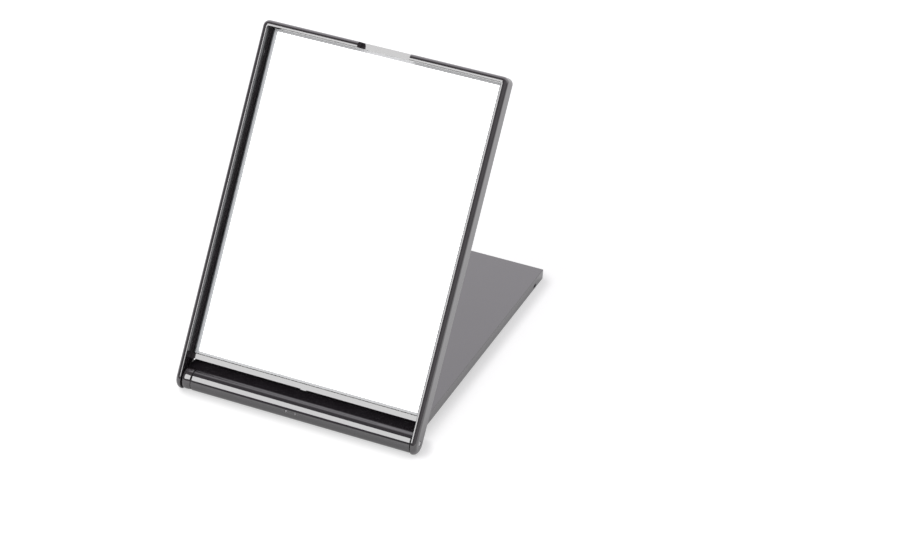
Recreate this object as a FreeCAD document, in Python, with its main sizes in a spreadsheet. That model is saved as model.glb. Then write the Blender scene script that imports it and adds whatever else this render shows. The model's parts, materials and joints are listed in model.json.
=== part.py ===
import FreeCAD, Part
import os
import Sketcher

# Folding makeup mirror: a tray with the glass in it, and a cover that nests in the tray when shut
# and swings right round on the hinge to become the stand.
# Each body is drawn with the hinge axis as its X axis, Y running up the leaf and Z out of its face.
# Placements then stand the mirror up: +Z up, +Y behind the glass, origin under the middle of the box.

DIMENSIONS = {
    # tray
    "case_width": 100.0,
    "case_reach": 140.0,
    "wall_thick": 2.3,
    "back_wall": 2.0,
    "edge_round": 1.95,
    "crest_round": 0.2,
    "corner_round": 2.4,
    "edge_limit_share": 0.85,
    "corner_least_share": 1.2,
    "crest_limit_share": 0.6,
    "inner_corner_round": 0.6,
    "sill_width": 2.0,
    "ledge_side": 0.55,
    "ledge_drop": 0.05,
    "notch_width": 21.3,
    # glass and its bond
    "glass_thick": 2.0,
    "glass_gap": 0.2,
    "bevel_width": 1.1,
    "bevel_depth": 0.35,
    "tape_thick": 0.4,
    "tape_width": 14.0,
    "tape_margin": 9.0,
    "tape_count": 3,
    # cover
    "cover_thick": 4.2,
    "cover_skin": 1.6,
    "cover_rim": 2.4,
    "cover_round": 0.35,
    "liner_thick": 1.2,
    "liner_gap": 0.1,
    "rib_thick": 1.2,
    "cells_across": 3,
    "cells_along": 4,
    # clearances of the shut cover in the tray
    "lid_gap": 0.2,
    "side_gap": 0.3,
    "end_gap": 0.3,
    "face_inset": 0.4,
    # gate marks left by moulding: a stub on the sill and a scar on the barrel
    "stub_width": 2.4,
    "stub_reach": 0.35,
    "stub_thick": 0.8,
    "scar_width": 5.0,
    "scar_height": 0.9,
    "scar_depth": 0.15,
    "scar_angle": 5.0,
    "scar_shift": 1.3,
    # hinge
    "stand_angle": 61.0,
    "stop_gap": 0.3,
    "pin_diameter": 1.8,
    "pin_grip": 9.0,
    "pin_inset": 0.1,
    "pin_chamfer": 0.2,
    "hole_chamfer": 0.3,
    "pin_clearance": 0.05,
    "bush_length": 3.7,
    "bush_gap": 0.15,
    "bush_crown": 0.25,
    "bush_round": 1.0,
    "bush_limit_share": 0.3,
    "barrel_edge": 0.5,
    # snap that holds the cover shut
    "snap_rise": 1.2,
    "nub_drop": 10.2,
    "nub_length": 2.4,
    "nub_width": 0.8,
    "nub_height": 0.15,
    "dimple_depth": 0.3,
    "dimple_margin": 0.25,
    # how far cutting shapes run past the material
    "overrun": 1.0,
}

# Sizes worked out from the driving dimensions, as expressions that the features are bound to.
CASE_THICK = ("(dims.back_wall + dims.tape_thick + dims.glass_thick"
              " + dims.lid_gap + dims.cover_thick + dims.face_inset)")
CASE_HALF = "(dims.case_width / 2)"
HALF_THICK = f"({CASE_THICK} / 2)"
# Rounds are limited by the wall that they lie on.
EDGE_ROUND = "min(dims.edge_round; dims.edge_limit_share * dims.wall_thick)"
CORNER_ROUND = f"max(dims.corner_round; dims.corner_least_share * {EDGE_ROUND})"
CREST_ROUND = f"min(dims.crest_round; dims.crest_limit_share * (dims.wall_thick - {EDGE_ROUND}))"
INNER_HALF = f"({CASE_HALF} - dims.wall_thick)"
INNER_TOP = "(dims.case_reach - dims.wall_thick)"
NUB_PLACE = f"({INNER_TOP} - dims.nub_drop)"
FLOOR = f"(dims.back_wall - {HALF_THICK})"
GLASS_BACK = f"({FLOOR} + dims.tape_thick)"
GLASS_FRONT = f"({GLASS_BACK} + dims.glass_thick)"
# The glass lies in a pocket, with a ledge beside it just under its front.
LEDGE = f"({GLASS_FRONT} - dims.ledge_drop)"
BARREL_RADIUS = f"({HALF_THICK} - dims.face_inset)"
# The tray's lower back edge lands on the cover and stops the swing at the stand angle.
FOOT = (f"(({BARREL_RADIUS} + dims.stop_gap + {HALF_THICK} * cos(dims.stand_angle))"
        " / sin(dims.stand_angle))")
SILL_INNER = f"({FOOT} + dims.sill_width)"
POCKET_HALF = f"({INNER_HALF} - dims.ledge_side)"
GLASS_HALF = f"({POCKET_HALF} - dims.glass_gap)"
GLASS_LOW = f"({SILL_INNER} + dims.glass_gap)"
GLASS_TOP = f"({INNER_TOP} - dims.glass_gap)"
BEVEL_RISE = "(dims.glass_thick - dims.bevel_depth)"
TAPE_LOW = f"({GLASS_LOW} + dims.tape_margin)"
TAPE_TOP = f"({GLASS_TOP} - dims.tape_margin)"
TAPE_SPREAD = f"(2 * ({GLASS_HALF} - dims.tape_margin) - dims.tape_width)"
COVER_HALF = f"({INNER_HALF} - dims.side_gap)"
COVER_REACH = f"({INNER_TOP} - dims.end_gap)"
COVER_LOW = f"({BARREL_RADIUS} - dims.cover_thick)"
SNAP_LEVEL = f"({COVER_LOW} + dims.snap_rise)"
LINER_SEAT = f"({COVER_LOW} + dims.liner_thick)"
CAVITY_TOP = f"({BARREL_RADIUS} - dims.cover_skin)"
RECESS_HALF = f"({COVER_HALF} - dims.cover_rim)"
RECESS_LOW = f"({BARREL_RADIUS} + dims.cover_rim)"
RECESS_TOP = f"({COVER_REACH} - dims.cover_rim)"
SHELF = "dims.rib_thick"
CELL_WIDTH = (f"((2 * ({RECESS_HALF} - {SHELF}) - (dims.cells_across - 1) * dims.rib_thick)"
              " / dims.cells_across)")
CELL_LENGTH = (f"(({RECESS_TOP} - {RECESS_LOW} - 2 * {SHELF} - (dims.cells_along - 1) * dims.rib_thick)"
               " / dims.cells_along)")
PIN_RADIUS = "(dims.pin_diameter / 2)"
BORE_RADIUS = f"({PIN_RADIUS} + dims.pin_clearance)"
BUSH_START = f"({INNER_HALF} - dims.bush_gap)"
BUSH_END = f"({BUSH_START} - dims.bush_length)"
BARREL_LEFT = f"({BUSH_END} - dims.bush_gap)"
BUSH_END_RADIUS = f"({BARREL_RADIUS} - dims.bush_crown)"
BUSH_ARC = "(dims.bush_length ^ 2 / (8 * dims.bush_crown) + dims.bush_crown / 2)"
BUSH_WALL = f"({BUSH_END_RADIUS} - {PIN_RADIUS})"
BUSH_ROUND = f"min(dims.bush_round; dims.bush_limit_share * min({BUSH_WALL}; dims.bush_length))"
# The cover slopes down until its far lower edge rests on the table with the ears.
COVER_SLOPE = (f"((asin({HALF_THICK} / sqrt({COVER_REACH} ^ 2 + {COVER_LOW} ^ 2))"
               f" + atan({COVER_LOW} / {COVER_REACH})) / 1 deg)")
CASE_TILT = f"(dims.stand_angle - {COVER_SLOPE})"
BACK_REACH = f"({COVER_REACH} * cos({COVER_SLOPE}) + {BARREL_RADIUS} * sin({COVER_SLOPE}))"
AXIS_Y = f"(({HALF_THICK} - {BACK_REACH}) / 2)"

# How near two lengths are to count as the same place.
CLOSE = 1e-4


def fill_sheet(document, dimensions):
    """Puts each driving dimension in its own cell, with its name as the alias."""
    sheet = document.addObject("Spreadsheet::Sheet", "dims")
    for row, (name, value) in enumerate(dimensions.items(), start=1):
        sheet.set(f"A{row}", name)
        sheet.set(f"B{row}", str(value))
        sheet.setAlias(f"B{row}", name)
    document.recompute()
    return sheet


def value(expression):
    """The present value of an expression on the sheet."""
    result = SHEET.evalExpression(expression)
    return float(getattr(result, "Value", result))


def new_body(label, tilt):
    """A body whose X axis is the hinge axis, tilted about it by the given angle."""
    body = DOC.addObject("PartDesign::Body", label)
    body.Label = label
    place = f"create(<<vector>>; 0; {AXIS_Y}; {HALF_THICK})"
    turn = f"create(<<rotation>>; create(<<vector>>; 1; 0; 0); {tilt})"
    body.setExpression("Placement", f"create(<<placement>>; {place}; {turn})")
    return body


def new_sketch(body, name, role, offset=None):
    """A sketch on one of the body's origin planes, moved along its normal by an expression."""
    sketch = body.newObject("Sketcher::SketchObject", name)
    base = next(plane for plane in body.Origin.OriginFeatures if plane.Role == role)
    sketch.AttachmentSupport = [(base, "")]
    sketch.MapMode = "FlatFace"
    if offset:
        sketch.setExpression("AttachmentOffset.Base.z", offset)
    return sketch


def pin_across(sketch, geometry, end, place, kind="DistanceX"):
    """Holds one coordinate of a sketch point at an expression."""
    index = sketch.addConstraint(Sketcher.Constraint(kind, -1, 1, geometry, end, value(place)))
    sketch.setExpression(f"Constraints[{index}]", place)


def pin_point(sketch, geometry, end, across, along):
    """Holds one point of a sketch at the two expressions."""
    pin_across(sketch, geometry, end, across)
    pin_across(sketch, geometry, end, along, "DistanceY")


def point(across, along):
    return FreeCAD.Vector(value(across), value(along), 0)


def draw_chain(sketch, corners):
    """Straight lines from corner to corner, each corner held by its two expressions."""
    first = None
    for start, end in zip(corners, corners[1:]):
        line = sketch.addGeometry(Part.LineSegment(point(*start), point(*end)), False)
        if first is None:
            first = line
        else:
            sketch.addConstraint(Sketcher.Constraint("Coincident", line - 1, 2, line, 1))
        pin_point(sketch, line, 1, *start)
    return first, line


def draw_polygon(sketch, corners):
    first, last = draw_chain(sketch, corners + corners[:1])
    sketch.addConstraint(Sketcher.Constraint("Coincident", last, 2, first, 1))


def draw_rectangle(sketch, left, right, low, high):
    draw_polygon(sketch, [(left, low), (right, low), (right, high), (left, high)])


def draw_circle(sketch, radius):
    """A circle about the sketch's origin."""
    outline = Part.Circle(FreeCAD.Vector(), FreeCAD.Vector(0, 0, 1), value(radius))
    circle = sketch.addGeometry(outline, False)
    sketch.addConstraint(Sketcher.Constraint("Coincident", circle, 3, -1, 1))
    index = sketch.addConstraint(Sketcher.Constraint("Radius", circle, value(radius)))
    sketch.setExpression(f"Constraints[{index}]", radius)


def close_with_arc(sketch, corners, centre):
    """Lines through the corners, closed by an anticlockwise arc from the last corner to the first."""
    first, last = draw_chain(sketch, corners)
    middle = point(*centre)
    tail = point(*corners[-1]) - middle
    head = point(*corners[0]) - middle
    circle = Part.Circle(middle, FreeCAD.Vector(0, 0, 1), tail.Length)
    start = circle.parameter(middle + tail)
    end = circle.parameter(middle + head)
    arc = sketch.addGeometry(Part.ArcOfCircle(circle, start, end), False)
    sketch.addConstraint(Sketcher.Constraint("Coincident", last, 2, arc, 1))
    sketch.addConstraint(Sketcher.Constraint("Coincident", arc, 2, first, 1))
    pin_point(sketch, arc, 3, *centre)
    pin_across(sketch, arc, 1, corners[-1][0])


def add_feature(body, kind, name, sketch, length, symmetric=False, reverse=False):
    """A pad or pocket of the sketch; it has to change the body's volume."""
    before = 0 if body.Shape.isNull() else body.Shape.Volume
    feature = body.newObject(f"PartDesign::{kind}", name)
    feature.Profile = sketch
    feature.setExpression("Length", length)
    feature.SideType = "Symmetric" if symmetric else "One side"
    feature.Reversed = reverse
    DOC.recompute()
    if near(body.Shape.Volume, before):
        raise RuntimeError(f"{name} leaves its body as it was")
    return feature


def dress_edges(body, kind, name, size, chosen):
    """A fillet or chamfer on the edges of the body's tip that the test picks."""
    base = body.Tip
    edges = [f"Edge{number}" for number, edge in enumerate(base.Shape.Edges, start=1) if chosen(edge)]
    if not edges:
        raise RuntimeError(f"{name} finds no edge")
    feature = body.newObject(f"PartDesign::{kind}", name)
    feature.Base = (base, edges)
    feature.setExpression("Size" if kind == "Chamfer" else "Radius", size)
    DOC.recompute()
    return feature


def edge_places(edge):
    """Points along an edge: its two ends and its middle."""
    low, high = edge.ParameterRange
    return [edge.valueAt(low), edge.valueAt((low + high) / 2), edge.valueAt(high)]


def near(first, second):
    return abs(first - second) < CLOSE


def build_case():
    """The tray: a slab with one full-round end, hollowed from the front between its rims."""
    body = new_body("mirror_case", CASE_TILT)
    half = value(HALF_THICK)
    side = value(CASE_HALF)
    reach = value("dims.case_reach")
    slab = new_sketch(body, "case_side", "YZ_Plane")
    back = f"-{HALF_THICK}"
    close_with_arc(
        slab,
        [("0", back), ("dims.case_reach", back), ("dims.case_reach", HALF_THICK), ("0", HALF_THICK)],
        ("0", "0"))
    add_feature(body, "Pad", "case_slab", slab, "dims.case_width", symmetric=True)

    def is_top_corner(edge):
        return all(near(p.y, reach) and near(abs(p.x), side) for p in edge_places(edge))

    dress_edges(body, "Fillet", "case_corners", CORNER_ROUND, is_top_corner)

    def is_outer(edge):
        on_side = all(near(abs(p.x), side) for p in edge_places(edge))
        on_face = all(near(abs(p.z), half) for p in edge_places(edge))
        on_top = edge.BoundBox.YMin > reach / 2
        across = on_side and not on_face and on_top
        return (on_side or (on_face and on_top)) and not across

    dress_edges(body, "Fillet", "case_edges", EDGE_ROUND, is_outer)
    hollow = new_sketch(body, "tray_side", "YZ_Plane")
    beyond = f"({HALF_THICK} + dims.overrun)"
    draw_polygon(hollow, [
        (INNER_TOP, LEDGE), (INNER_TOP, beyond), (f"-{beyond}", beyond), (f"-{beyond}", f"-{beyond}"),
        (FOOT, f"-{beyond}"), (FOOT, LEDGE)])
    add_feature(body, "Pocket", "tray_hollow", hollow, f"2 * {INNER_HALF}", symmetric=True)
    inner = value(INNER_HALF)
    top = value(INNER_TOP)

    def is_inner_corner(edge):
        return all(near(abs(p.x), inner) and near(p.y, top) for p in edge_places(edge))

    dress_edges(body, "Fillet", "tray_corners", "dims.inner_corner_round", is_inner_corner)

    def is_crest(edge):
        places = edge_places(edge)
        on_front = all(near(p.z, half) for p in places)
        return on_front and all(abs(p.x) < inner + CLOSE and p.y < top + CLOSE for p in places)

    dress_edges(body, "Fillet", "rim_crest", CREST_ROUND, is_crest)
    notch = new_sketch(body, "notch_side", "YZ_Plane")
    inside = f"({INNER_TOP} - dims.overrun)"
    outside = "(dims.case_reach + dims.overrun)"
    draw_rectangle(notch, inside, outside, LEDGE, beyond)
    add_feature(body, "Pocket", "thumb_notch", notch, "dims.notch_width", symmetric=True)
    bed = new_sketch(body, "glass_bed_outline", "XY_Plane", f"({LEDGE} + dims.overrun)")
    draw_rectangle(bed, f"-{POCKET_HALF}", POCKET_HALF, SILL_INNER, INNER_TOP)
    add_feature(body, "Pocket", "glass_bed", bed, f"{LEDGE} + dims.overrun - {FLOOR}")
    holes = new_sketch(body, "pin_circle", "YZ_Plane")
    draw_circle(holes, PIN_RADIUS)
    add_feature(body, "Pocket", "pin_holes", holes, "dims.case_width + 2 * dims.overrun", symmetric=True)
    pin_radius = value(PIN_RADIUS)

    def is_hole_rim(edge):
        places = edge_places(edge)
        on_side = all(near(abs(p.x), side) for p in places)
        return on_side and all(near((p.y ** 2 + p.z ** 2) ** 0.5, pin_radius) for p in places)

    dress_edges(body, "Chamfer", "pin_hole_rims", "dims.hole_chamfer", is_hole_rim)
    stub = body.newObject("PartDesign::AdditiveBox", "gate_stub")
    stub.setExpression("Length", "dims.stub_width")
    stub.setExpression("Width", "dims.stub_reach + dims.sill_width / 2")
    stub.setExpression("Height", "dims.stub_thick")
    stub.setExpression("Placement.Base.x", "-dims.stub_width / 2")
    stub.setExpression("Placement.Base.y", f"{FOOT} - dims.stub_reach")
    stub.setExpression("Placement.Base.z", f"{LEDGE} - dims.stub_thick")
    DOC.recompute()
    nub = body.newObject("PartDesign::AdditiveEllipsoid", "snap_nub")
    nub.setExpression("Radius1", "dims.nub_width / 2")
    nub.setExpression("Radius2", "dims.nub_height")
    nub.setExpression("Radius3", "dims.nub_length / 2")
    nub.setExpression("Placement.Base.x", INNER_HALF)
    nub.setExpression("Placement.Base.y", NUB_PLACE)
    nub.setExpression("Placement.Base.z", SNAP_LEVEL)
    DOC.recompute()
    pair = body.newObject("PartDesign::Mirrored", "snap_nubs")
    pair.Originals = [nub]
    pair.MirrorPlane = (next(p for p in body.Origin.OriginFeatures if p.Role == "YZ_Plane"), [""])
    body.Tip = pair
    DOC.recompute()
    return body


def build_glass():
    """The pane, with a shallow ground bevel round its front."""
    body = new_body("mirror_glass", CASE_TILT)
    pane = new_sketch(body, "glass_outline", "XY_Plane", GLASS_BACK)
    draw_rectangle(pane, f"-{GLASS_HALF}", GLASS_HALF, GLASS_LOW, GLASS_TOP)
    add_feature(body, "Pad", "glass_pane", pane, BEVEL_RISE)
    face = new_sketch(body, "bevel_outline", "XY_Plane", f"({GLASS_BACK} + {BEVEL_RISE})")
    draw_rectangle(face, f"-{GLASS_HALF}", GLASS_HALF, GLASS_LOW, GLASS_TOP)
    bevel = add_feature(body, "Pad", "glass_bevel", face, "dims.bevel_depth")
    bevel.setExpression("TaperAngle", "-atan(dims.bevel_width / dims.bevel_depth)")
    DOC.recompute()
    return body


def build_tape():
    """Upright strips of tape, spread evenly across the back of the glass."""
    body = new_body("glass_tape", CASE_TILT)
    strip = new_sketch(body, "tape_outline", "XY_Plane", FLOOR)
    left = f"(-{TAPE_SPREAD} / 2 - dims.tape_width / 2)"
    draw_rectangle(strip, left, f"({left} + dims.tape_width)", TAPE_LOW, TAPE_TOP)
    pad = add_feature(body, "Pad", "tape_strip", strip, "dims.tape_thick")
    row = body.newObject("PartDesign::LinearPattern", "tape_strips")
    row.Originals = [pad]
    row.Direction = (strip, ["H_Axis"])
    row.setExpression("Length", TAPE_SPREAD)
    row.setExpression("Occurrences", "dims.tape_count")
    body.Tip = row
    DOC.recompute()
    return body


def build_pin(label, outer_end, inner_end):
    """A steel pin along the hinge axis between two places, chamfered at both ends."""
    body = new_body(label, CASE_TILT)
    low, high = sorted((outer_end, inner_end), key=value)
    disc = new_sketch(body, f"{label}_circle", "YZ_Plane", low)
    draw_circle(disc, PIN_RADIUS)
    add_feature(body, "Pad", f"{label}_rod", disc, f"{high} - {low}")
    dress_edges(body, "Chamfer", f"{label}_ends", "dims.pin_chamfer",
                lambda edge: edge.BoundBox.XLength < CLOSE)
    return body


def build_bush():
    """The crowned sleeve on the left pin, between the ear and the barrel, domed towards the ear."""
    body = new_body("hinge_bush", CASE_TILT)
    section = new_sketch(body, "bush_section", "XY_Plane")
    left = f"-{BUSH_START}"
    right = f"-{BUSH_END}"
    close_with_arc(
        section,
        [(left, BUSH_END_RADIUS), (left, PIN_RADIUS), (right, PIN_RADIUS), (right, BUSH_END_RADIUS)],
        (f"(-({BUSH_START} + {BUSH_END}) / 2)", f"({BARREL_RADIUS} - {BUSH_ARC})"))
    turn = body.newObject("PartDesign::Revolution", "bush_turn")
    turn.Profile = section
    turn.ReferenceAxis = (section, ["H_Axis"])
    turn.Angle = 360
    DOC.recompute()
    radius = value(BUSH_END_RADIUS)
    end = -value(BUSH_START)
    dress_edges(body, "Fillet", "bush_dome", BUSH_ROUND, lambda edge: all(
        near(p.x, end) and near((p.y ** 2 + p.z ** 2) ** 0.5, radius) for p in edge_places(edge)))
    return body


def build_cover():
    """The cover: a plate that runs into the hinge barrel, ribbed behind the liner."""
    body = new_body("cover_shell", f"-{COVER_SLOPE}")
    side = value(COVER_HALF)
    reach = value(COVER_REACH)
    radius = value(BARREL_RADIUS)
    low = value(COVER_LOW)
    profile = new_sketch(body, "cover_side", "YZ_Plane")
    root = f"sqrt({BARREL_RADIUS} ^ 2 - {COVER_LOW} ^ 2)"
    far_low = (COVER_REACH, COVER_LOW)
    far_high = (COVER_REACH, BARREL_RADIUS)
    close_with_arc(profile, [(root, COVER_LOW), far_low, far_high, ("0", BARREL_RADIUS)], ("0", "0"))
    add_feature(body, "Pad", "cover_plate", profile, f"2 * {COVER_HALF}", symmetric=True)

    def is_outer(edge):
        places = edge_places(edge)
        on_side = all(near(abs(p.x), side) for p in places)
        on_inner_face = all(near(p.z, low) for p in places)
        on_far_end = all(near(p.y, reach) for p in places)
        far_edge = on_far_end and all(near(p.z, radius) for p in places)
        return far_edge or (on_side and not on_inner_face)

    dress_edges(body, "Fillet", "cover_edges", "dims.cover_round", is_outer)
    seat = new_sketch(body, "bush_seat_circle", "YZ_Plane", f"-({COVER_HALF} + dims.overrun)")
    draw_circle(seat, f"({BARREL_RADIUS} + dims.bush_gap)")
    seat_length = f"{COVER_HALF} + dims.overrun - {BARREL_LEFT}"
    add_feature(body, "Pocket", "bush_seat", seat, seat_length, reverse=True)
    end = -value(BARREL_LEFT)
    dress_edges(body, "Fillet", "barrel_end", "dims.barrel_edge", lambda edge: all(
        near(p.x, end) and near((p.y ** 2 + p.z ** 2) ** 0.5, radius) for p in edge_places(edge)))
    recess = new_sketch(body, "liner_recess_outline", "XY_Plane", f"({COVER_LOW} - dims.overrun)")
    draw_rectangle(recess, f"-{RECESS_HALF}", RECESS_HALF, RECESS_LOW, RECESS_TOP)
    add_feature(body, "Pocket", "liner_recess", recess, "dims.liner_thick + dims.overrun", reverse=True)
    cell = new_sketch(body, "cell_outline", "XY_Plane", f"({LINER_SEAT} - dims.overrun)")
    left = f"(-{RECESS_HALF} + {SHELF})"
    near_end = f"({RECESS_LOW} + {SHELF})"
    draw_rectangle(cell, left, f"({left} + {CELL_WIDTH})", near_end, f"({near_end} + {CELL_LENGTH})")
    cell_depth = f"{CAVITY_TOP} - {LINER_SEAT} + dims.overrun"
    pocket = add_feature(body, "Pocket", "cell", cell, cell_depth, reverse=True)
    grid = body.newObject("PartDesign::MultiTransform", "cells")
    grid.Originals = [pocket]
    steps = []
    for name, axis, pitch, count in (("cells_row", "H_Axis", CELL_WIDTH, "dims.cells_across"),
                                     ("cells_column", "V_Axis", CELL_LENGTH, "dims.cells_along")):
        step = body.newObject("PartDesign::LinearPattern", name)
        step.Direction = (cell, [axis])
        step.setExpression("Length", f"({pitch} + dims.rib_thick) * ({count} - 1)")
        step.setExpression("Occurrences", count)
        steps.append(step)
    grid.Transformations = steps
    body.Tip = grid
    DOC.recompute()
    right_bore = new_sketch(body, "right_bore_circle", "YZ_Plane", f"({COVER_HALF} + dims.overrun)")
    draw_circle(right_bore, BORE_RADIUS)
    add_feature(body, "Pocket", "right_bore", right_bore, "dims.pin_grip + 2 * dims.overrun")
    left_bore = new_sketch(body, "left_bore_circle", "YZ_Plane", f"-({BARREL_LEFT} + dims.overrun)")
    draw_circle(left_bore, BORE_RADIUS)
    add_feature(body, "Pocket", "left_bore", left_bore, "dims.pin_grip + 2 * dims.overrun", reverse=True)
    scar = body.newObject("PartDesign::SubtractiveBox", "gate_scar")
    scar.setExpression("Length", "dims.scar_width")
    scar.setExpression("Width", "dims.scar_height")
    scar.setExpression("Height", "dims.scar_depth + dims.overrun")
    depth = f"({BARREL_RADIUS} - dims.scar_depth)"
    across = "(-dims.scar_width / 2 - dims.scar_shift)"
    forward = f"(-{depth} * cos(dims.scar_angle) - dims.scar_height / 2 * sin(dims.scar_angle))"
    upward = f"({depth} * sin(dims.scar_angle) - dims.scar_height / 2 * cos(dims.scar_angle))"
    base = f"create(<<vector>>; {across}; {forward}; {upward})"
    turn = "create(<<rotation>>; create(<<vector>>; 1; 0; 0); 90 - dims.scar_angle)"
    scar.setExpression("Placement", f"create(<<placement>>; {base}; {turn})")
    DOC.recompute()
    dimple = new_sketch(body, "dimple_outline", "YZ_Plane", COVER_HALF)
    half_length = "(dims.nub_length / 2 + dims.dimple_margin)"
    half_width = "(dims.nub_width / 2 + dims.dimple_margin)"
    draw_rectangle(dimple, f"({NUB_PLACE} - {half_length})", f"({NUB_PLACE} + {half_length})",
                   f"({SNAP_LEVEL} - {half_width})", f"({SNAP_LEVEL} + {half_width})")
    cut = add_feature(body, "Pocket", "dimple", dimple, "dims.dimple_depth")
    pair = body.newObject("PartDesign::Mirrored", "dimples")
    pair.Originals = [cut]
    pair.MirrorPlane = (next(p for p in body.Origin.OriginFeatures if p.Role == "YZ_Plane"), [""])
    body.Tip = pair
    DOC.recompute()
    return body


def build_liner():
    body = new_body("cover_liner", f"-{COVER_SLOPE}")
    panel = new_sketch(body, "liner_outline", "XY_Plane", COVER_LOW)
    half = f"({RECESS_HALF} - dims.liner_gap)"
    near_end = f"({RECESS_LOW} + dims.liner_gap)"
    far_end = f"({RECESS_TOP} - dims.liner_gap)"
    draw_rectangle(panel, f"-{half}", half, near_end, far_end)
    add_feature(body, "Pad", "liner_panel", panel, "dims.liner_thick")
    return body


DOC = FreeCAD.newDocument("folding_mirror")
SHEET = fill_sheet(DOC, DIMENSIONS)
BODIES = [
    build_case(),
    build_glass(),
    build_tape(),
    build_pin("hinge_pin_left", f"-({CASE_HALF} - dims.pin_inset)", f"-({BARREL_LEFT} - dims.pin_grip)"),
    build_pin("hinge_pin_right", f"({CASE_HALF} - dims.pin_inset)", f"({COVER_HALF} - dims.pin_grip)"),
    build_bush(),
    build_cover(),
    build_liner(),
]
DOC.recompute()
for item in DOC.Objects:
    if "Invalid" in item.State or "Error" in item.State:
        raise RuntimeError(f"{item.Label} failed: {item.State}")
os.makedirs("parts", exist_ok=True)
for body in BODIES:
    if body.Shape.isNull() or not body.Shape.isValid():
        raise RuntimeError(f"{body.Label} has no valid shape")
for body in BODIES:
    body.Shape.exportStep(f"parts/{body.Label}.step")
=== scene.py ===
import json
import math

import bpy
from mathutils import Matrix, Vector

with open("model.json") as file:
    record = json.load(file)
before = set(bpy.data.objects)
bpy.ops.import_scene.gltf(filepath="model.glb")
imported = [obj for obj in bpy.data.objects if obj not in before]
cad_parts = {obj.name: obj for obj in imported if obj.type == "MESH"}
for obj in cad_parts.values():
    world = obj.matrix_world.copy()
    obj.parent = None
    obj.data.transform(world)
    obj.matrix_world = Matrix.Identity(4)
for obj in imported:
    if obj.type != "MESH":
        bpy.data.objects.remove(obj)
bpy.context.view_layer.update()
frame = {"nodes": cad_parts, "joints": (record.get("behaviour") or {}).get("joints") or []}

scene = bpy.context.scene
scene.view_settings.view_transform = "Standard"

# Lengths are in metres, and right is the right of a person who looks into the glass.
TO_RIGHT = Vector((1.0, 0.0, 0.0))
WHITE = (1.0, 1.0, 1.0, 1.0)
HINGE = Vector(frame["joints"][0]["pos_m"])
LEAF_TILT = math.radians(59.0814)
# Square out of the glass, towards the person who looks in it.
GLASS_OUT = Vector((0.0, -math.sin(LEAF_TILT), math.cos(LEAF_TILT)))


# Helpers for nodes and objects

def put(tree, kind, inputs=None, **settings):
    """A new node with its settings, and its inputs set to values or linked to sockets."""
    made = tree.nodes.new(kind)
    for name, value in settings.items():
        setattr(made, name, value)
    for name, value in (inputs or {}).items():
        if isinstance(value, bpy.types.NodeSocket):
            tree.links.new(value, made.inputs[name])
        else:
            made.inputs[name].default_value = value
    return made


def empty_tree(owner):
    """The node tree of a material or a world, with nothing in it."""
    owner.use_nodes = True
    owner.node_tree.nodes.clear()
    return owner.node_tree


def new_look(name, **sockets):
    """A material with one Principled shader, and the constants of its sockets."""
    look = bpy.data.materials.new(name)
    tree = empty_tree(look)
    shader = put(tree, "ShaderNodeBsdfPrincipled")
    for socket, value in sockets.items():
        shader.inputs[socket.replace("_", " ")].default_value = value
    put(tree, "ShaderNodeOutputMaterial", {"Surface": shader.outputs["BSDF"]})
    place = put(tree, "ShaderNodeTexCoord")
    return look, tree, shader, place


def feed(tree, shader, **sockets):
    """Links values to the shader's sockets."""
    for socket, value in sockets.items():
        tree.links.new(value, shader.inputs[socket.replace("_", " ")])


def noise(tree, where, size, detail, rough=0.5):
    """Cloudy values from 0 to 1 with features about size across."""
    made = put(tree, "ShaderNodeTexNoise", {
        "Vector": where, "Scale": 1.0 / size, "Detail": detail, "Roughness": rough})
    return made.outputs["Fac"]


def streaks(tree, where, scale, rough):
    """Cloudy values drawn out into streaks: each axis has its own count of features per metre."""
    made = put(tree, "ShaderNodeMapping", {"Vector": where, "Scale": scale})
    return noise(tree, made.outputs["Vector"], size=1.0, detail=3.0, rough=rough)


def spread(tree, value, over, to):
    """A value eased from the range over to the range to, and held at its ends."""
    made = put(tree, "ShaderNodeMapRange", {
        "Value": value, "From Min": over[0], "From Max": over[1],
        "To Min": to[0], "To Max": to[1]},
        interpolation_type="SMOOTHSTEP", clamp=True)
    return made.outputs["Result"]


def combine(tree, kind, *values):
    """The outcome of a sum, a product or a comparison."""
    made = put(tree, "ShaderNodeMath", operation=kind)
    for socket, value in zip(made.inputs, values):
        if isinstance(value, bpy.types.NodeSocket):
            tree.links.new(value, socket)
        else:
            socket.default_value = value
    return made.outputs["Value"]


def vector_math(tree, kind, vector, constant):
    """A vector node that works on a linked vector and a constant one."""
    made = put(tree, "ShaderNodeVectorMath", operation=kind)
    tree.links.new(vector, made.inputs[0])
    made.inputs[1].default_value = constant
    return made


def along(tree, vector, direction):
    """How far a vector reaches in a direction."""
    return vector_math(tree, "DOT_PRODUCT", vector, direction).outputs["Value"]


def shifted(tree, vector, step):
    """A vector moved by a step."""
    return vector_math(tree, "ADD", vector, step).outputs["Vector"]


def tones(tree, value, stops):
    """Colours along a value."""
    made = put(tree, "ShaderNodeValToRGB", {"Fac": value})
    ramp = made.color_ramp
    ramp.elements[0].position, ramp.elements[0].color = stops[0]
    ramp.elements[1].position, ramp.elements[1].color = stops[-1]
    for position, colour in stops[1:-1]:
        ramp.elements.new(position).color = colour
    return made.outputs["Color"]


def bump(tree, height, depth, under=None):
    """A relief whose full height is depth, on top of the one under it."""
    inputs = {"Height": height, "Distance": depth, "Strength": 1.0}
    if under is not None:
        inputs["Normal"] = under
    return put(tree, "ShaderNodeBump", inputs).outputs["Normal"]


def add_object(name, data):
    """An object of the studio, put in the scene."""
    made = bpy.data.objects.new(name, data)
    scene.collection.objects.link(made)
    return made


def turned(x_axis, y_axis, z_axis, place):
    """The matrix of an object with these axes at a place."""
    turn = Matrix((x_axis, y_axis, z_axis)).transposed().to_4x4()
    return Matrix.Translation(place) @ turn


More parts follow.
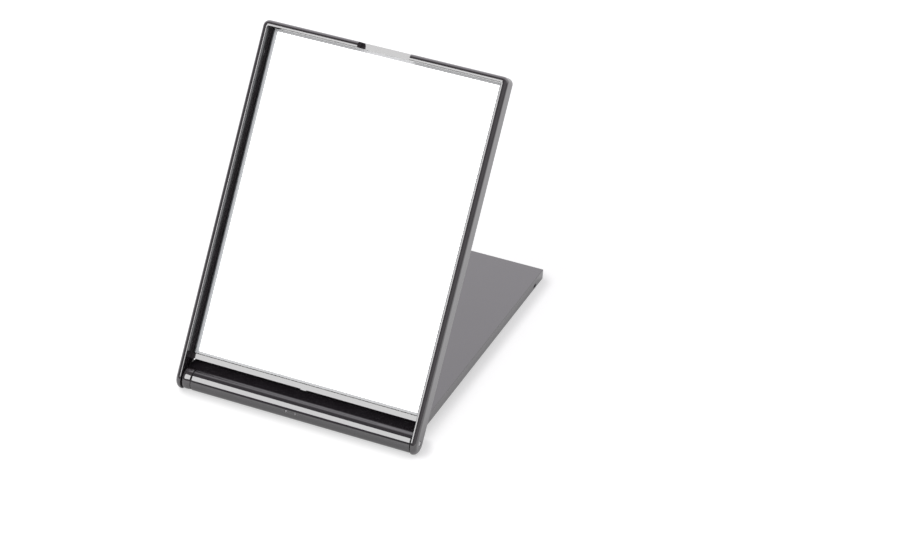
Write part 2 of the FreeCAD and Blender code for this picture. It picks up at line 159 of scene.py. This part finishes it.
def dress(look, *nodes):
    """Gives a look to carried-over pieces."""
    for node in nodes:
        frame["nodes"][node].data.materials[0] = look


# Looks

# The gate scar on the hinge barrel: its middle, the way up its flat, the place and half width
# of each torn spot along it, the share of that width that is torn all over, and how far the
# spots reach up and inwards.
SCAR_MIDDLE = HINGE + Vector((-0.0013, -0.00402, 0.000488))
SCAR_UP = Vector((0.0, 0.1205, 0.9927))
SCAR_SPOTS = ((-0.0019, 0.0009), (0.0018, 0.0006))
SPOT_CORE = 0.3
SCAR_HALF_HEIGHT = 0.0005
SCAR_HALF_DEPTH = 0.0004
TORN_PLASTIC = (0.42, 0.41, 0.42, 1.0)
TORN_ROUGHNESS = 0.4

# Keeps the clouds of a moulding's own tone below the torn plastic on its colour ramp.
CLOUD_SHARE = 0.8
WAVE_DEPTH = 0.0000012
HAIR_DEPTH = 0.0000012
HAIR_ROUGHNESS = 0.05

# Where the painted dark line at the left of the glass ends, and the painted pale strip beside it:
# painted shade and painted light that stand in for the ground side seen through the glass from
# this one viewpoint, so they lie on the left only.
PAINTED_DARK_LINE_END = (-0.0464, -0.0462)
PAINTED_PALE_STRIP_END = (-0.045, -0.0446)
# How square to GLASS_OUT a surface is from the bevel to the face.
BEVEL_TO_FACE = (0.955, 0.985)
# Places of the painted strip and of the frost on the glass's colour ramp, from the painted dark
# line (painted shade) to the face.
PAINTED_STRIP_LEVEL = 0.3
FROST_LEVELS = (0.6, 0.75)
GLASS_TONES = [
    (0.0, (0.1, 0.105, 0.11, 1.0)),
    (PAINTED_STRIP_LEVEL, (0.8, 0.825, 0.84, 1.0)),
    (FROST_LEVELS[0], (0.955, 0.97, 0.975, 1.0)),
    (FROST_LEVELS[1], (0.97, 0.98, 0.985, 1.0)),
    (1.0, (0.93, 0.94, 0.94, 1.0))]
FROST_ROUGHNESS = 0.45

STEEL_RINGS_SCALE = 1400.0
STEEL_TONES = [(0.3, (0.86, 0.858, 0.855, 1.0)), (0.7, (0.94, 0.938, 0.935, 1.0))]
STEEL_RING_DEPTH = 0.0000015

FOAM_CELLS_SCALE = 3500.0
FOAM_TONES = [(0.1, (0.62, 0.61, 0.58, 1.0)), (0.6, (0.76, 0.755, 0.735, 1.0))]
FOAM_CELL_DEPTH = 0.00006

SATIN_GRAIN_DEPTH = 0.000012


def torn_spots(tree, where):
    """1 on the torn spots of the barrel's gate scar, 0 elsewhere."""
    from_middle = shifted(tree, where, -SCAR_MIDDLE)
    across = along(tree, from_middle, TO_RIGHT)
    spots = None
    for place, half_width in SCAR_SPOTS:
        away = combine(tree, "ABSOLUTE", combine(tree, "SUBTRACT", across, place))
        spot = spread(tree, away, over=(SPOT_CORE * half_width, half_width), to=(1.0, 0.0))
        spots = spot if spots is None else combine(tree, "MAXIMUM", spots, spot)
    for direction, reach in ((SCAR_UP, SCAR_HALF_HEIGHT),
                             (SCAR_UP.cross(TO_RIGHT), SCAR_HALF_DEPTH)):
        away = combine(tree, "ABSOLUTE", along(tree, from_middle, direction))
        spots = combine(tree, "MULTIPLY", spots, combine(tree, "LESS_THAN", away, reach))
    return spots


def gloss_plastic(name, dark, light, roughness, lay, scar=False):
    """Polished black moulding: its own faint tone, slow waves of the moulded skin,
    hairline scratches along lay, and dull patches where fingers have been."""
    look, tree, shader, place = new_look(
        name, Coat_Weight=1.0, Coat_Roughness=0.02, Coat_IOR=1.95, IOR=1.6)
    where = place.outputs["Object"]
    cloud = noise(tree, where, size=0.012, detail=4.0, rough=0.6)
    cloud = combine(tree, "MULTIPLY", cloud, CLOUD_SHARE)
    hairs = spread(tree, streaks(tree, where, lay, rough=0.65), over=(0.62, 0.74), to=(0.0, 1.0))
    touch = noise(tree, where, size=0.022, detail=3.0, rough=0.55)
    worn = combine(tree, "ADD", spread(tree, touch, over=(0.45, 0.75), to=roughness),
                   combine(tree, "MULTIPLY", hairs, HAIR_ROUGHNESS))
    waves = bump(tree, noise(tree, where, size=0.009, detail=1.0), WAVE_DEPTH)
    scratched = bump(tree, hairs, -HAIR_DEPTH, under=waves)
    if scar:
        torn = noise(tree, where, size=0.0006, detail=3.0, rough=0.7)
        specks = combine(tree, "MULTIPLY", torn_spots(tree, where),
                         spread(tree, torn, over=(0.42, 0.56), to=(0.0, 1.0)))
        cloud = combine(tree, "MAXIMUM", cloud, specks)
        worn = combine(tree, "ADD", worn, combine(tree, "MULTIPLY", specks, TORN_ROUGHNESS))
    tone = tones(tree, cloud, [(0.24, dark), (0.6, light), (0.85, light), (1.0, TORN_PLASTIC)])
    feed(tree, shader, Base_Color=tone, Roughness=worn, Coat_Normal=waves, Normal=scratched)
    return look


def satin_plastic(name, dark, light):
    """Dark moulding with the fine even grain of an eroded tool."""
    look, tree, shader, place = new_look(name, IOR=1.5)
    where = place.outputs["Object"]
    cloud = noise(tree, where, size=0.015, detail=4.0)
    grain = noise(tree, where, size=0.00022, detail=2.0, rough=0.6)
    feed(tree, shader, Base_Color=tones(tree, cloud, [(0.3, dark), (0.7, light)]),
         Roughness=spread(tree, grain, over=(0.3, 0.7), to=(0.42, 0.56)),
         Normal=bump(tree, grain, SATIN_GRAIN_DEPTH))
    return look


def silvered_glass(name):
    """Silvered glass: a clear mirror on its faces, with faint wiped smears, the pale frost
    of ground glass on its bevel and sides, and at its left a painted dark outer line and a
    painted pale strip: painted shade and painted light for the ground side seen through the
    glass."""
    look, tree, shader, place = new_look(name, IOR=1.52)
    where = place.outputs["Object"]
    square = combine(tree, "ABSOLUTE", along(tree, place.outputs["Normal"], GLASS_OUT))
    flat = spread(tree, square, over=BEVEL_TO_FACE, to=(0.0, 1.0))
    across = along(tree, where, TO_RIGHT)
    # Painted shade and painted light: the dark line and the pale strip that the ground side shows
    # through the glass, painted into the colour on the left only.
    strip = spread(tree, across, over=PAINTED_DARK_LINE_END, to=(0.0, PAINTED_STRIP_LEVEL))
    beyond = spread(tree, across, over=PAINTED_PALE_STRIP_END, to=(0.0, 1.0))
    face = combine(tree, "MULTIPLY", flat, beyond)
    chips = noise(tree, where, size=0.002, detail=3.0, rough=0.7)
    chips = spread(tree, chips, over=(0.4, 0.62), to=FROST_LEVELS)
    frost = combine(tree, "MULTIPLY", chips, beyond)
    level = combine(tree, "MAXIMUM", strip, combine(tree, "MAXIMUM", frost, face))
    wiped = streaks(tree, where, (18.0, 60.0, 60.0), rough=0.6)
    smear = spread(tree, wiped, over=(0.5, 0.8), to=(0.004, 0.018))
    ground = spread(tree, face, over=(0.0, 1.0), to=(FROST_ROUGHNESS, 0.0))
    feed(tree, shader, Base_Color=tones(tree, level, GLASS_TONES), Metallic=face,
         Roughness=combine(tree, "ADD", smear, ground))
    return look


def ground_steel(name):
    """Bright drawn wire with turned rings on its ends."""
    look, tree, shader, place = new_look(name, Metallic=1.0, IOR=2.5)
    where = place.outputs["Object"]
    rings = put(tree, "ShaderNodeTexWave", {
        "Vector": shifted(tree, where, -HINGE), "Scale": STEEL_RINGS_SCALE,
        "Distortion": 0.6, "Detail": 2.0, "Detail Scale": 2.0},
        wave_type="RINGS", rings_direction="X").outputs["Fac"]
    cloud = noise(tree, where, size=0.0009, detail=3.0)
    feed(tree, shader, Base_Color=tones(tree, cloud, STEEL_TONES),
         Roughness=spread(tree, rings, over=(0.0, 1.0), to=(0.14, 0.22)),
         Normal=bump(tree, rings, STEEL_RING_DEPTH))
    return look


def tape_foam(name):
    """Pale closed-cell foam of double-sided tape."""
    look, tree, shader, place = new_look(name, Roughness=0.85, IOR=1.45)
    cells = put(tree, "ShaderNodeTexVoronoi", {
        "Vector": place.outputs["Object"], "Scale": FOAM_CELLS_SCALE}).outputs["Distance"]
    feed(tree, shader, Base_Color=tones(tree, cells, FOAM_TONES),
         Normal=bump(tree, cells, -FOAM_CELL_DEPTH))
    return look


case_look = gloss_plastic(
    "case_gloss_look", dark=(0.035, 0.029, 0.032, 1.0), light=(0.048, 0.041, 0.046, 1.0),
    roughness=(0.03, 0.07), lay=(25.0, 900.0, 900.0))
cover_look = gloss_plastic(
    "cover_gloss_look", dark=(0.02, 0.017, 0.0205, 1.0), light=(0.029, 0.025, 0.03, 1.0),
    roughness=(0.04, 0.08), lay=(900.0, 25.0, 900.0), scar=True)
liner_look = satin_plastic(
    "liner_satin_look", dark=(0.014, 0.014, 0.015, 1.0), light=(0.022, 0.022, 0.023, 1.0))
dress(case_look, "mirror_case", "hinge_bush")
dress(cover_look, "cover_shell")
dress(liner_look, "cover_liner")
dress(silvered_glass("silvered_glass_look"), "mirror_glass")
dress(ground_steel("pin_steel_look"), "hinge_pin_left", "hinge_pin_right")
dress(tape_foam("tape_foam_look"), "glass_tape")


# Floor

FLOOR_RADIUS = 12.0
FLOOR_DROP = 0.0001
FLOOR_SIDES = 96
FLOOR_PAPER = (0.5, 0.5, 0.5, 1.0)
# What the floor adds to its paper where it is seen straight, and in a reflection.
SEEN_GLOW = 0.78
MIRRORED_GLOW = 0.4
# How far out from the object its contact shadow dims each of them.
SEEN_SHADOW = 0.007
MIRRORED_SHADOW = 0.02
SHADOW_SAMPLES = 16
# The share of the seen glow that is left in the shadow, and the openness over which it returns.
SHADOW_DEPTH = 0.7
SHADOW_OPENNESS = (0.6, 0.97)
# How the shadow leans away from the softbox.
SHADOW_LEAN = (-0.55, -0.6, 0.0)
# How far to the right the mirrored glow fades out.
MIRRORED_FADE = (0.2, 0.5)


def build_floor():
    """A round pale floor just under the object, so wide that its edge is lost in the white.
    Its glow fades close to the object, where the contact shadow lies."""
    rim = [(FLOOR_RADIUS * math.cos(2 * math.pi * i / FLOOR_SIDES),
            FLOOR_RADIUS * math.sin(2 * math.pi * i / FLOOR_SIDES), -FLOOR_DROP)
           for i in range(FLOOR_SIDES)]
    mesh = bpy.data.meshes.new("floor")
    mesh.from_pydata(rim, [], [tuple(range(FLOOR_SIDES))])
    floor = add_object("floor", mesh)
    look = bpy.data.materials.new("floor_white")
    tree = empty_tree(look)
    paper = put(tree, "ShaderNodeBsdfDiffuse", {"Color": FLOOR_PAPER})
    path = put(tree, "ShaderNodeLightPath").outputs
    ground = put(tree, "ShaderNodeNewGeometry").outputs
    close = put(tree, "ShaderNodeAmbientOcclusion", {
        "Distance": SEEN_SHADOW, "Normal": shifted(tree, ground["Normal"], SHADOW_LEAN)},
        samples=SHADOW_SAMPLES).outputs["AO"]
    seen = spread(tree, close, over=SHADOW_OPENNESS, to=(SHADOW_DEPTH * SEEN_GLOW, SEEN_GLOW))
    seen = combine(tree, "MULTIPLY", seen, path["Is Camera Ray"])
    wide = put(tree, "ShaderNodeAmbientOcclusion", {"Distance": MIRRORED_SHADOW},
               samples=SHADOW_SAMPLES).outputs["AO"]
    across = along(tree, ground["Position"], TO_RIGHT)
    dimmed = combine(tree, "MULTIPLY", wide,
                     spread(tree, across, over=MIRRORED_FADE, to=(MIRRORED_GLOW, 0.0)))
    bounced = combine(tree, "MAXIMUM", path["Is Glossy Ray"], path["Is Transmission Ray"])
    level = combine(tree, "ADD", seen, combine(tree, "MULTIPLY", bounced, dimmed))
    glow = put(tree, "ShaderNodeEmission", {"Color": WHITE, "Strength": level})
    both = put(tree, "ShaderNodeAddShader")
    tree.links.new(paper.outputs["BSDF"], both.inputs[0])
    tree.links.new(glow.outputs["Emission"], both.inputs[1])
    put(tree, "ShaderNodeOutputMaterial", {"Surface": both.outputs["Shader"]})
    mesh.materials.append(look)


build_floor()


# Light

# How bright the room is in front of the object, on its right and behind it.
WORLD_FRONT = 0.16
WORLD_SIDE = 0.36
WORLD_BACK = 1.0
# The parts of a direction, to the right and to the back, over which the room brightens.
TURN_SIDE = (0.35, 0.65)
TURN_BACK = (0.05, 0.45)
# The faint violet of the room's paper in reflections.
PAPER_TINT = (0.98, 0.95, 1.0, 1.0)

SOFTBOX_AWAY = Vector((-0.288, -0.717, 0.635)).normalized()
SOFTBOX_UP = Vector((0.0, 0.643, 0.766)).normalized()
SOFTBOX_DISTANCE = 1.0
SOFTBOX_WIDTH = 0.62
SOFTBOX_HEIGHT = 0.8
SOFTBOX_RADIANCE = 3.75


def build_world():
    """A white sweep behind the object and a dim room in front of it, less dim on its right.
    All of it is white where it is seen straight."""
    world = bpy.data.worlds.new("studio")
    scene.world = world
    tree = empty_tree(world)
    place = put(tree, "ShaderNodeTexCoord")
    axes = put(tree, "ShaderNodeSeparateXYZ", {"Vector": place.outputs["Generated"]}).outputs
    seen = put(tree, "ShaderNodeLightPath").outputs["Is Camera Ray"]
    level = combine(tree, "MAXIMUM",
                    spread(tree, axes["Y"], over=TURN_BACK, to=(WORLD_FRONT, WORLD_BACK)),
                    spread(tree, axes["X"], over=TURN_SIDE, to=(WORLD_FRONT, WORLD_SIDE)))
    back = put(tree, "ShaderNodeBackground", {
        "Color": tones(tree, seen, [(0.0, PAPER_TINT), (1.0, WHITE)]),
        "Strength": combine(tree, "MAXIMUM", level, seen)})
    put(tree, "ShaderNodeOutputWorld", {"Surface": back.outputs["Background"]})


def build_softbox():
    """One tall softbox in front and to the left, which the mirror's face reflects."""
    lamp = bpy.data.lights.new("softbox", "AREA")
    lamp.shape = "RECTANGLE"
    lamp.size = SOFTBOX_WIDTH
    lamp.size_y = SOFTBOX_HEIGHT
    lamp.energy = SOFTBOX_RADIANCE * math.pi * SOFTBOX_WIDTH * SOFTBOX_HEIGHT
    # A lamp shines along its own -Z, so its Z axis points away from the object.
    right = SOFTBOX_UP.cross(SOFTBOX_AWAY).normalized()
    add_object("softbox", lamp).matrix_world = turned(
        right, SOFTBOX_AWAY.cross(right), SOFTBOX_AWAY, HINGE + SOFTBOX_AWAY * SOFTBOX_DISTANCE)


build_world()
build_softbox()


# Camera

CAMERA_PLACE = (0.3444856, -0.8410075, 0.5983328)
YAW = math.radians(20.3327)
PITCH = math.radians(32.0874)
ROLL = math.radians(3.8149)
LENS_MM = 109.2449
SENSOR_MM = 36.0
CLIP_START = 0.01
CLIP_END = 100.0


def build_camera():
    """The photograph's viewpoint."""
    forward = Vector((-math.sin(YAW) * math.cos(PITCH),
                      math.cos(YAW) * math.cos(PITCH), -math.sin(PITCH)))
    right = Vector((math.cos(YAW), math.sin(YAW), 0.0))
    up = right.cross(forward)
    across = math.cos(ROLL) * right + math.sin(ROLL) * up
    upright = -math.sin(ROLL) * right + math.cos(ROLL) * up
    data = bpy.data.cameras.new("camera")
    data.sensor_width = SENSOR_MM
    data.sensor_fit = "HORIZONTAL"
    data.lens = LENS_MM
    data.clip_start = CLIP_START
    data.clip_end = CLIP_END
    camera = add_object("camera", data)
    camera.matrix_world = turned(across, upright, -forward, CAMERA_PLACE)
    scene.camera = camera


build_camera()
